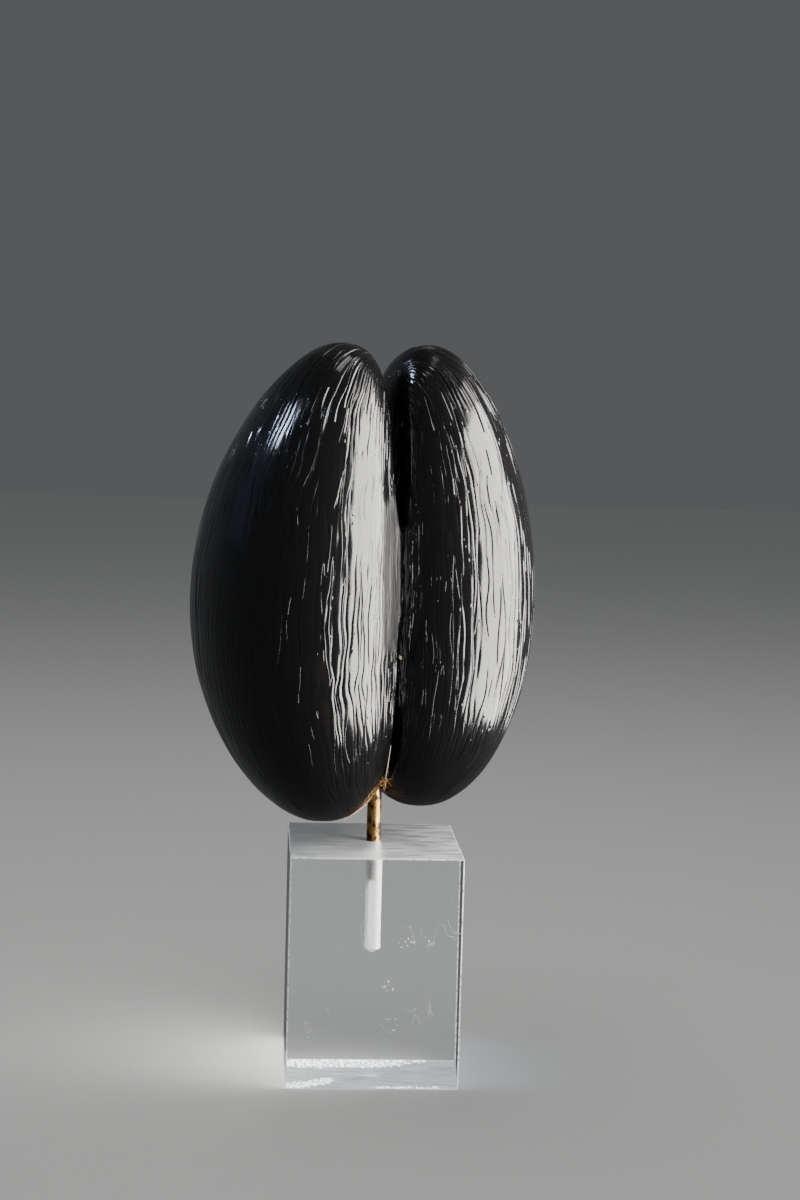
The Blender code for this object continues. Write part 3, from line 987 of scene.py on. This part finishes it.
start_piece()
rod_radius = (ROD_HIGH.x - ROD_LOW.x) / 2
rod_length = ROD_HIGH.z - ROD_LOW.z
rod_middle = (0.0, 0.0, (ROD_HIGH.z + ROD_LOW.z) / 2)
bpy.ops.mesh.primitive_cylinder_add(
    vertices=ROD_SIDES, radius=rod_radius, depth=rod_length, location=rod_middle
)
rod = bpy.context.object
rod.name = "mounting_rod"
freeze_place(rod)
rounding = rod.modifiers.new("rounded_ends", "BEVEL")
rounding.width = ROD_CHAMFER
rounding.segments = 3
apply_all(rod)
bpy.ops.object.mode_set(mode="EDIT")
for slice_height in np.linspace(ROD_LOW.z + SLICE_MARGIN, ROD_HIGH.z - SLICE_MARGIN, ROD_SLICES):
    bpy.ops.mesh.select_all(action="SELECT")
    bpy.ops.mesh.bisect(plane_co=(0.0, 0.0, slice_height), plane_no=(0.0, 0.0, 1.0))
bpy.ops.object.mode_set(mode="OBJECT")
for vertex in rod.data.vertices:
    pull = 1.0 - ROD_UNEVENNESS / rod_radius * abs(noise.noise(vertex.co * ROD_GRAIN))
    vertex.co.x *= pull
    vertex.co.y *= pull
rod.data.update()
bpy.ops.object.shade_smooth_by_angle(angle=math.radians(40))

# %% Gild and wear the rod
ROD_GOLD = (0.42, 0.22, 0.055)
ROD_PALE = (0.60, 0.40, 0.17)
ROD_BROWN = (0.045, 0.022, 0.010)
gilding, tree, shader = new_material("worn_gilt_rod")
rod_place = object_place(tree)
mottle = noise_node(tree, stretched(tree, rod_place, (1.0, 1.0, 0.35)), 420.0, 5.0, 0.65)
blotch = noise_node(tree, rod_place, 130.0, 3.0)
colour = mixed(tree, ramp_node(tree, mottle, 0.40, 0.62), ROD_GOLD, ROD_PALE)
worn = ramp_node(tree, math_node(tree, "ADD", mottle, blotch), 0.96, 1.12)
colour = mixed(tree, worn, colour, ROD_BROWN)
tree.links.new(colour, shader.inputs["Base Color"])
shader.inputs["Metallic"].default_value = 0.90
tree.links.new(ramp_node(tree, blotch, 0.3, 0.7, 0.28, 0.46), shader.inputs["Roughness"])
tree.links.new(bumped(tree, mottle, 0.0003, 0.5), shader.inputs["Normal"])
rod.data.materials.append(gilding)
on_object.objects.link(rod)
shading.objects.link(rod)
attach(rod, "root")
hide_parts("rod")
print("the rod is", round(rod_length, 4), "m long and", round(2 * rod_radius, 4), "m thick")

# %% [markdown]
# ## The acrylic block
#
# The block is sawn from thick clear stock and its faces are polished, which leaves fine bright
# edges. A drill goes down into its top to take the rod. Drilled acrylic stays frosted, so the
# bore shows as a white tube. A cube is bevelled first and then drilled with a Boolean, the way
# the real one was made. The drill is a cylinder whose lower cap is poked out to a point.

# %% Saw, bevel and drill the block
BLOCK_EDGE = 0.0007
BORE_RADIUS = 0.0045
BORE_DEPTH = 0.0615
BORE_SIDES = 96
DRILL_POINT_ANGLE = math.radians(118)
CUT_CLEARANCE = 0.010

start_piece()
block_size = BLOCK_HIGH - BLOCK_LOW
bpy.ops.mesh.primitive_cube_add(size=1.0, location=(BLOCK_LOW + BLOCK_HIGH) / 2, scale=block_size)
block = bpy.context.object
block.name = "acrylic_block"
freeze_place(block)
edges_cut = block.modifiers.new("polished_edges", "BEVEL")
edges_cut.width = BLOCK_EDGE
edges_cut.segments = 3

start_piece()
shoulder = BLOCK_HIGH.z - BORE_DEPTH
drill_top = BLOCK_HIGH.z + CUT_CLEARANCE
drill_length = drill_top - shoulder
drill_middle = (0.0, 0.0, (drill_top + shoulder) / 2)
bpy.ops.mesh.primitive_cylinder_add(
    vertices=BORE_SIDES, radius=BORE_RADIUS, depth=drill_length, location=drill_middle
)
drill = bpy.context.object
bpy.ops.object.mode_set(mode="EDIT")
bpy.ops.mesh.select_all(action="DESELECT")
bpy.ops.object.mode_set(mode="OBJECT")
for face in drill.data.polygons:
    face.select = face.normal.z < -0.5
bpy.ops.object.mode_set(mode="EDIT")
bpy.ops.mesh.poke(offset=BORE_RADIUS / math.tan(DRILL_POINT_ANGLE / 2))
bpy.ops.object.mode_set(mode="OBJECT")
drilled = block.modifiers.new("drilled_bore", "BOOLEAN")
drilled.object = drill
start_piece()
block.select_set(True)
apply_all(block)
bpy.data.objects.remove(drill, do_unlink=True)
bpy.context.view_layer.objects.active = block
bpy.ops.object.shade_smooth_by_angle(angle=math.radians(28))
print("the drilled block has", len(block.data.polygons), "faces")

# %% [markdown]
# ## Clear, hazy and frosted
#
# The whole block is one piece of acrylic, so it gets one material. Its finish is chosen by where
# a point is: polished sides, a hazier top that was sawn and wiped, white sawn edges and the
# frosted wall of the bore. A separate material for each face would need cuts along its border.

# %% Cast the acrylic
acrylic, tree, shader = new_material("clear_cast_acrylic")
block_place = object_place(tree)
apart = tree.nodes.new("ShaderNodeSeparateXYZ")
tree.links.new(block_place, apart.inputs["Vector"])
out_x, out_y, up_z = apart.outputs["X"], apart.outputs["Y"], apart.outputs["Z"]


def between(value, low, high, soft):
    """1 between low and high, fading over soft."""
    fading_in = ramp_node(tree, value, low - soft, low)
    fading_out = ramp_node(tree, value, high, high + soft, 1.0, 0.0)
    return product(fading_in, fading_out)


CLEAR = (0.95, 0.975, 0.98)
BASE_BLUE = (0.30, 0.62, 0.85)
BLOCK_HALF = BLOCK_HIGH.x
FACE_DEPTH = 0.0003
FACE_SKIN = (0.0002, 0.0006)
BORE_SKIN = (0.0047, 0.0050)
EDGE_REACH = 0.0009
FACE_MARKS = (
    (0.018, 0.087, 0.007),
    (0.031, 0.088, 0.004),
    (-0.013, 0.0715, 0.0025),
    (0.008, 0.062, 0.007),
    (0.011, 0.037, 0.008),
    (-0.012, 0.040, 0.002),
    (-0.039, 0.034, 0.008),
)

from_axis = math_node(tree, "SQRT", math_node(tree, "ADD", product(out_x, out_x), product(out_y, out_y)), 0.0)
top_face = ramp_node(tree, up_z, BLOCK_HIGH.z - FACE_SKIN[1], BLOCK_HIGH.z - FACE_SKIN[0])
below_top = math_node(tree, "SUBTRACT", 1.0, top_face)
frosted = product(ramp_node(tree, from_axis, *BORE_SKIN, 1.0, 0.0), below_top)
base_face = ramp_node(tree, up_z, *FACE_SKIN, 1.0, 0.0)
front_face = ramp_node(tree, out_y, -BLOCK_HALF + FACE_DEPTH / 2, -BLOCK_HALF + FACE_DEPTH, 1.0, 0.0)
print("the block's bore is", BORE_DEPTH, "m deep to its shoulder")

# %% Frost the edges, the bore and the top
side_x = math_node(tree, "ABSOLUTE", out_x, 0.0)
side_y = math_node(tree, "ABSOLUTE", out_y, 0.0)
near_x = ramp_node(tree, side_x, BLOCK_HALF - EDGE_REACH, BLOCK_HALF - EDGE_REACH + FACE_DEPTH)
near_y = ramp_node(tree, side_y, BLOCK_HALF - EDGE_REACH, BLOCK_HALF - EDGE_REACH + FACE_DEPTH)
near_top = ramp_node(tree, up_z, BLOCK_HIGH.z - EDGE_REACH, BLOCK_HIGH.z - EDGE_REACH + FACE_DEPTH)
sawn_edges = highest(product(near_x, near_y), product(highest(near_x, near_y), near_top))
edge_chips = ramp_node(tree, noise_node(tree, block_place, 500.0, 3.0), 0.35, 0.60, 0.35, 1.0)
sawn_edges = product(sawn_edges, edge_chips)
wiped = noise_node(tree, stretched(tree, block_place, (0.22, 1.0, 1.0)), 230.0, 5.0, 0.6)
top_haze = product(top_face, ramp_node(tree, wiped, 0.34, 0.66, 0.10, 0.34))
rings = noise_node(tree, stretched(tree, block_place, (0.05, 0.05, 1.0)), 800.0, 4.0, 0.6)
bore_haze = product(frosted, ramp_node(tree, rings, 0.35, 0.65, 0.12, 0.26))
print("the frosting has", len(tree.nodes), "nodes so far")

# %% [markdown]
# ## Scuffs on the base
#
# The base is scuffed from being slid about on tables. Seen through the front, three ragged white
# patches show: along the back edge, across the left corner and on the front edge. They could be
# painted by hand. Here each is a range of places on the base, with its border torn by noise that
# is drawn out from front to back, because the base is seen so flatly.

# %% Scuff the base
BACK_SCUFF = (0.0460, 0.0485)
BACK_SCUFF_END = (0.032, 0.036)
BACK_SCUFF_TAPER = 0.022
FRONT_SCUFF = (-0.0205, -0.0180)
CORNER_SLANT = 0.75

drawn_out = stretched(tree, block_place, (1.0, 0.22, 1.0))
speckle = ramp_node(tree, noise_node(tree, drawn_out, 620.0, 4.0, 0.7), 0.44, 0.50)
ragged = noise_node(tree, block_place, 90.0, 4.0)
frayed = noise_node(tree, drawn_out, 480.0, 3.0, 0.6)
torn_y = math_node(tree, "ADD", out_y, product(ragged, 0.008))
torn_y = math_node(tree, "ADD", torn_y, product(frayed, 0.035))
taper = ramp_node(tree, out_x, 0.004, 0.036, 0.0, BACK_SCUFF_TAPER)
behind = math_node(tree, "SUBTRACT", torn_y, taper)
back_scuff = ramp_node(tree, behind, *BACK_SCUFF)
back_scuff = product(back_scuff, ramp_node(tree, out_x, *BACK_SCUFF_END, 1.0, 0.0))
slanted = math_node(tree, "SUBTRACT", torn_y, product(out_x, CORNER_SLANT))
corner_scuff = product(between(slanted, 0.0085, 0.0270, 0.001), between(out_x, -0.048, -0.023, 0.003))
front_scuff = ramp_node(tree, torn_y, *FRONT_SCUFF, 1.0, 0.0)
front_scuff = product(front_scuff, between(out_x, 0.003, 0.036, 0.006))
scuffed = product(highest(back_scuff, corner_scuff, front_scuff), speckle, base_face)
clouds = noise_node(tree, stretched(tree, block_place, (0.4, 1.0, 1.0)), 140.0, 5.0, 0.6)
base_haze = product(base_face, ramp_node(tree, clouds, 0.30, 0.70, 0.08, 0.24))
print("the base is scuffed in 3 patches")

# %% [markdown]
# ## Marks on the front
#
# A few spots of chips and some hairline scratches catch the light on the front face. Scratches
# could be cut as geometry, but real ones are thinner than a hair, so they belong to the finish:
# each spot scatters flecks round its middle, and a scratch is where a noise crosses its mean.

# %% Mark and scratch the front
mark_spots = []
for mark_x, mark_z, mark_radius in FACE_MARKS:
    to_mark = tree.nodes.new("ShaderNodeVectorMath")
    to_mark.operation = "DISTANCE"
    to_mark.inputs[1].default_value = (mark_x, -BLOCK_HALF, mark_z)
    tree.links.new(block_place, to_mark.inputs[0])
    mark_spots.append(ramp_node(tree, to_mark.outputs["Value"], 0.3 * mark_radius, mark_radius, 1.0, 0.0))
chips = noise_node(tree, stretched(tree, block_place, (1.0, 1.0, 0.6)), 700.0, 3.0)
flecks = ramp_node(tree, chips, 0.60, 0.66)
marks = product(highest(*mark_spots), flecks, front_face)
hairline_grain = noise_node(tree, stretched(tree, block_place, (1.0, 1.0, 0.6), (0.0, 0.7, 0.0)), 60.0, 1.0)
hairline = math_node(tree, "ABSOLUTE", math_node(tree, "SUBTRACT", hairline_grain, 0.5), 0.0)
worn_patch = ramp_node(tree, noise_node(tree, block_place, 45.0, 2.0), 0.52, 0.62)
scratches = product(ramp_node(tree, hairline, 0.0, 0.004, 1.0, 0.0), worn_patch, front_face)
print("the front has", len(FACE_MARKS), "marks")

# %% Mix polish and haze
dull = highest(
    product(frosted, 0.60),
    product(top_face, 0.26),
    product(base_face, 0.42),
    product(scuffed, 0.80),
    product(sawn_edges, 0.50),
    product(marks, 0.60),
    product(scratches, 0.30),
)
tree.links.new(math_node(tree, "ADD", dull, 0.015), shader.inputs["Roughness"])
milky = highest(
    bore_haze,
    top_haze,
    base_haze,
    product(scuffed, 0.95),
    product(sawn_edges, 0.45),
    product(marks, 0.85),
    product(scratches, 0.16),
)
tree.links.new(math_node(tree, "SUBTRACT", 1.0, milky), shader.inputs["Transmission Weight"])
tree.links.new(mixed(tree, base_haze, CLEAR, BASE_BLUE), shader.inputs["Base Color"])
shader.inputs["IOR"].default_value = 1.49
frost_grain = noise_node(tree, block_place, 2500.0, 2.0)
roughened = math_node(tree, "ADD", product(frost_grain, dull), product(scratches, -0.5))
tree.links.new(bumped(tree, roughened, 0.0002, 0.4), shader.inputs["Normal"])
block.data.materials.append(acrylic)
on_object.objects.link(block)
block.visible_glossy = False
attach(block, "root")
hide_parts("block")
print("the acrylic has", len(tree.nodes), "nodes")

# %% [markdown]
# ## The size
#
# The dressed model has to stay inside the solid model's box, so both boxes are written down
# to be compared.

# %% Write both boxes
visual_box = [list(corner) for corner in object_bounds()]
for name, corners in (("solid", CAD_BOX), ("dressed", visual_box)):
    print(name, "model:", [[round(v, 4) for v in corner] for corner in corners])
